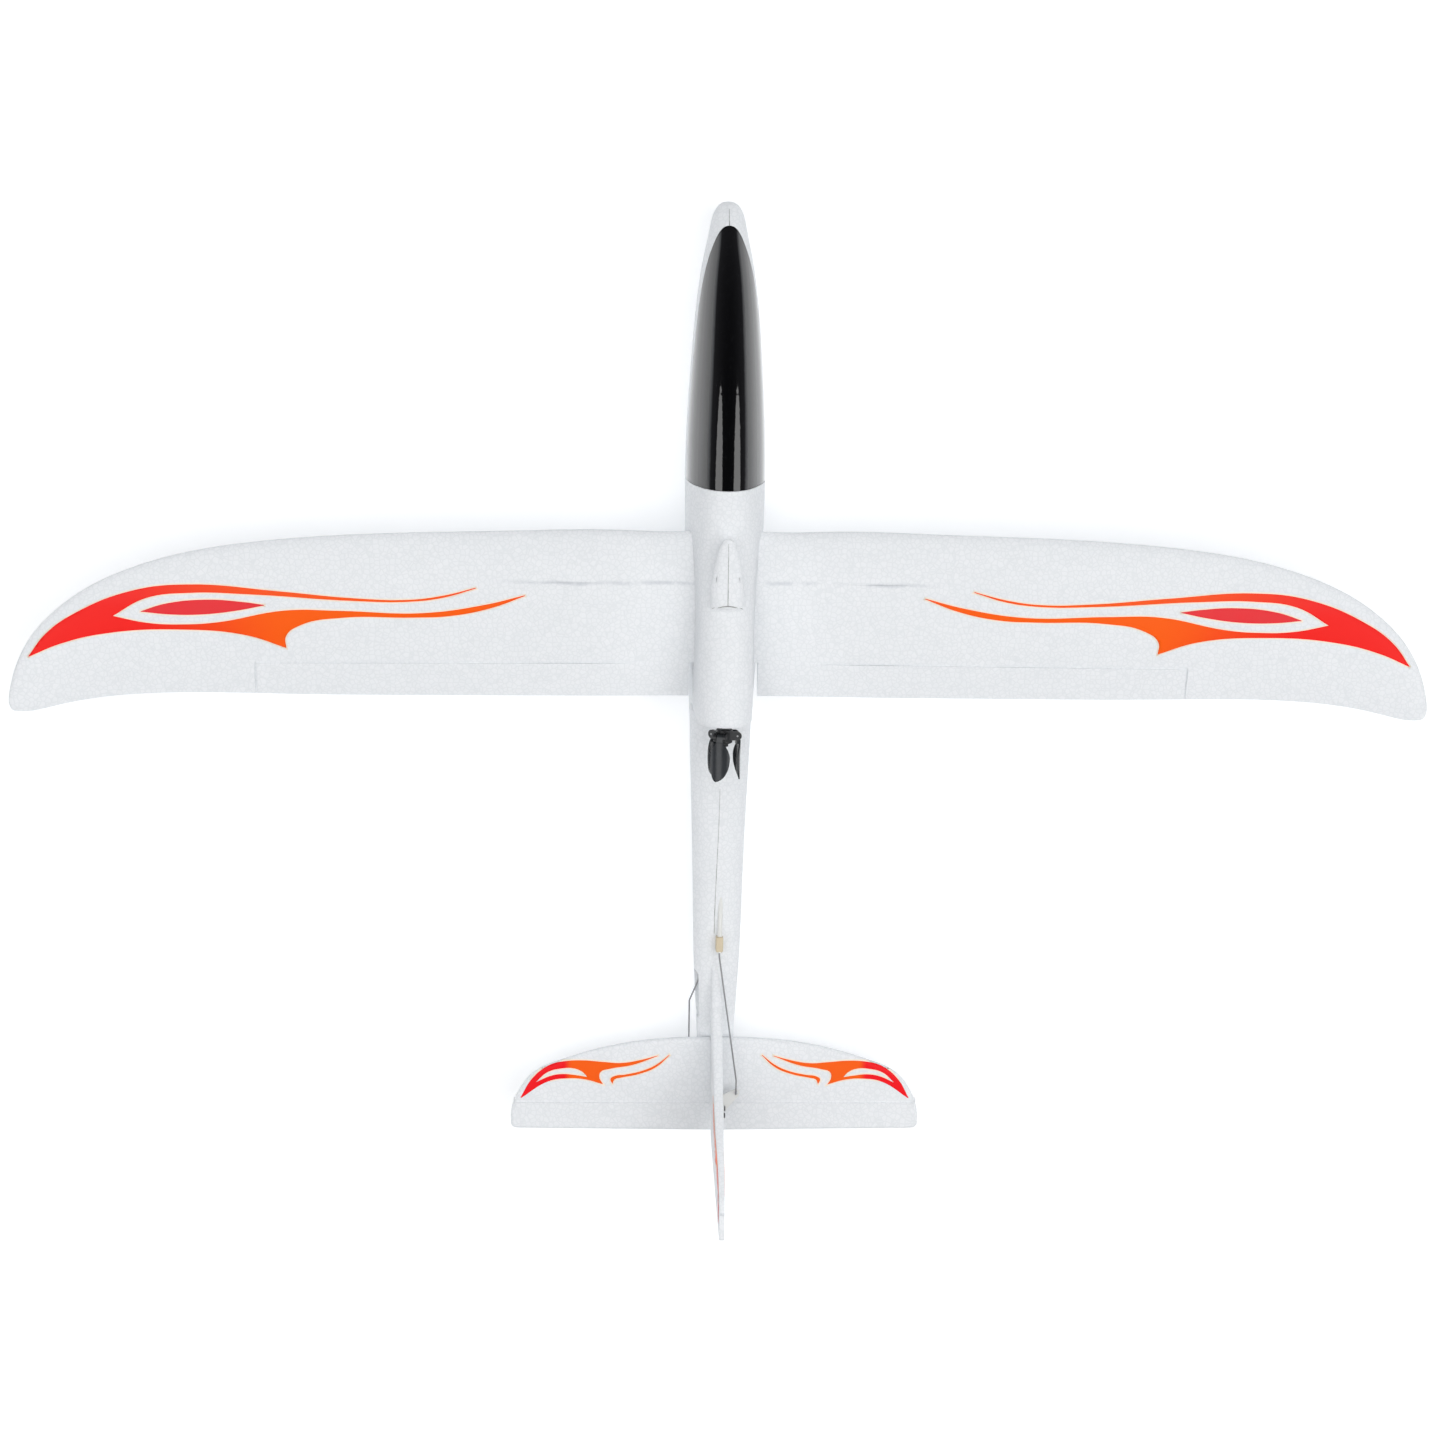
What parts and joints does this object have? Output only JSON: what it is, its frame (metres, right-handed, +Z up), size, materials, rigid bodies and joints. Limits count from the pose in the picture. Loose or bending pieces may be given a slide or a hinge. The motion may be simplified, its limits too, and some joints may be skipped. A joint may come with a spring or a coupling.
{
  "type": "rc foam airplane",
  "caption": "Radio controlled foam pusher glider with a gloss canopy, a folding propeller, a rudder and an elevator worked by pushrods.",
  "frame": {"origin": "under the middle of the model's bounding box, on the surface its flat belly rests on", "axes": "+Y to the nose, +X to starboard, +Z up"},
  "size_m": [0.75, 0.5379, 0.1315],
  "materials": {
    "foam": "satin",
    "canopy_gloss": "gloss",
    "carbon": "satin",
    "black_plastic": "matte",
    "white_plastic": "satin",
    "sleeve_plastic": "satin",
    "steel": "satin",
    "magnet": "polished",
    "motor_can": "satin",
    "wire_red": "matte",
    "wire_black": "matte",
    "battery_wrap": "gloss",
    "strap": "matte",
    "foam_tape": "matte",
    "receiver_case": "satin",
    "servo_case": "satin",
    "plug_red": "satin",
    "plywood": "matte"
  },
  "bodies": {
    "airframe": {"fuselage_left": "foam", "fuselage_right": "foam", "wing_left": "foam", "wing_right": "foam", "spar_tube": "carbon", "wing_pegs": "carbon", "tailplane": "foam", "tail_screws": "steel", "fin": "foam", "rudder_hinge_web": "foam", "elevator_hinge_web": "foam", "deck_magnets": "magnet", "motor": "motor_can", "motor_mount": "black_plastic", "motor_mount_screws": "steel", "motor_lead_red": "wire_red", "motor_lead_black": "wire_black", "battery_pack": "battery_wrap", "battery_strap": "strap", "battery_lead_red": "wire_red", "battery_lead_black": "wire_black", "battery_plug": "plug_red", "receiver": "receiver_case", "receiver_pad": "foam_tape", "servo_tray": "plywood", "servo_screws": "steel", "guide_tube_rudder": "white_plastic", "guide_tube_elevator": "white_plastic", "exit_sleeve": "sleeve_plastic", "servo_elevator": "servo_case", "servo_rudder": "servo_case"},
    "canopy_lid": {"canopy": "canopy_gloss", "canopy_bulkhead": "black_plastic", "canopy_magnets": "magnet"},
    "propeller": {"motor_shaft": "steel", "propeller_hub": "black_plastic", "propeller_nut": "steel", "blade_pins": "steel"},
    "blade_1": {"propeller_blade_1": "black_plastic"},
    "blade_2": {"propeller_blade_2": "black_plastic"},
    "blade_3": {"propeller_blade_3": "black_plastic"},
    "rudder_panel": {"rudder": "foam", "rudder_horn": "white_plastic", "rudder_horn_screws": "steel"},
    "elevator_panel": {"elevator": "foam", "elevator_horn": "white_plastic", "elevator_horn_screws": "steel"},
    "rudder_pushrod": {"rudder_rod": "steel"},
    "elevator_pushrod": {"elevator_rod": "steel"},
    "rudder_arm": {"servo_arm_rudder": "white_plastic"},
    "elevator_arm": {"servo_arm_elevator": "white_plastic"},
    "rudder_link": {"servo_link_rudder": "steel"},
    "elevator_link": {"servo_link_elevator": "steel"}
  },
  "joints": [
    {"name": "canopy_tip", "type": "hinge", "parent": "airframe", "child": "canopy_lid", "pos_m": [0, 0.2572, 0.0319], "axis": [-1, 0, 0], "range_deg": [0, 35]},
    {"name": "propeller_spin", "type": "hinge", "parent": "airframe", "child": "propeller", "pos_m": [0, -0.009, 0.067], "axis": [0, 1, 0], "continuous": true},
    {"name": "rudder_hinge", "type": "hinge", "parent": "airframe", "child": "rudder_panel", "pos_m": [0, -0.2125, 0.044], "axis": [0, -0.4383, 0.8988], "range_deg": [-20, 20]},
    {"name": "elevator_hinge", "type": "hinge", "parent": "airframe", "child": "elevator_panel", "pos_m": [0, -0.2225, 0.036], "axis": [1, 0, 0], "range_deg": [-18, 18]},
    {"name": "rudder_rod_slide", "type": "slide", "parent": "airframe", "child": "rudder_pushrod", "axis": [0, 0.987, -0.1608], "range_m": [-0.0035, 0.0035]},
    {"name": "elevator_rod_slide", "type": "slide", "parent": "airframe", "child": "elevator_pushrod", "axis": [0, 1, 0], "range_m": [-0.00283, 0.00283]},
    {"name": "rudder_servo", "type": "hinge", "parent": "airframe", "child": "rudder_arm", "pos_m": [0.0095, 0.1, 0.03], "axis": [0, 0, -1], "range_deg": [-30.42, 30.42]},
    {"name": "elevator_servo", "type": "hinge", "parent": "airframe", "child": "elevator_arm", "pos_m": [-0.0095, 0.1, 0.03], "axis": [0, 0, 1], "range_deg": [-24.92, 24.92]},
    {"name": "rudder_link_slide", "type": "slide", "parent": "airframe", "child": "rudder_link", "axis": [0, 1, 0], "range_m": [-0.00345, 0.00345]},
    {"name": "elevator_link_slide", "type": "slide", "parent": "airframe", "child": "elevator_link", "axis": [0, 1, 0], "range_m": [-0.00283, 0.00283]},
    {"name": "blade_1_fold", "type": "hinge", "parent": "propeller", "child": "blade_1", "pos_m": [-0.00222, -0.009, 0.07311], "axis": [-0.9397, 0, -0.342], "range_deg": [0, 90]},
    {"name": "blade_2_fold", "type": "hinge", "parent": "propeller", "child": "blade_2", "pos_m": [0.0064, -0.009, 0.06587], "axis": [0.1736, 0, 0.9848], "range_deg": [0, 90]},
    {"name": "blade_3_fold", "type": "hinge", "parent": "propeller", "child": "blade_3", "pos_m": [-0.00418, -0.009, 0.06202], "axis": [0.766, 0, -0.6428], "range_deg": [0, 90]}
  ],
  "couplings": [
    {"joint": "rudder_rod_slide", "follows": "rudder_hinge", "m_per_rad": 0.010017},
    {"joint": "rudder_link_slide", "follows": "rudder_hinge", "m_per_rad": 0.009887},
    {"joint": "rudder_servo", "follows": "rudder_hinge", "ratio": 1.5211},
    {"joint": "elevator_rod_slide", "follows": "elevator_hinge", "m_per_rad": 0.009},
    {"joint": "elevator_link_slide", "follows": "elevator_hinge", "m_per_rad": 0.009},
    {"joint": "elevator_servo", "follows": "elevator_hinge", "ratio": 1.3846}
  ]
}
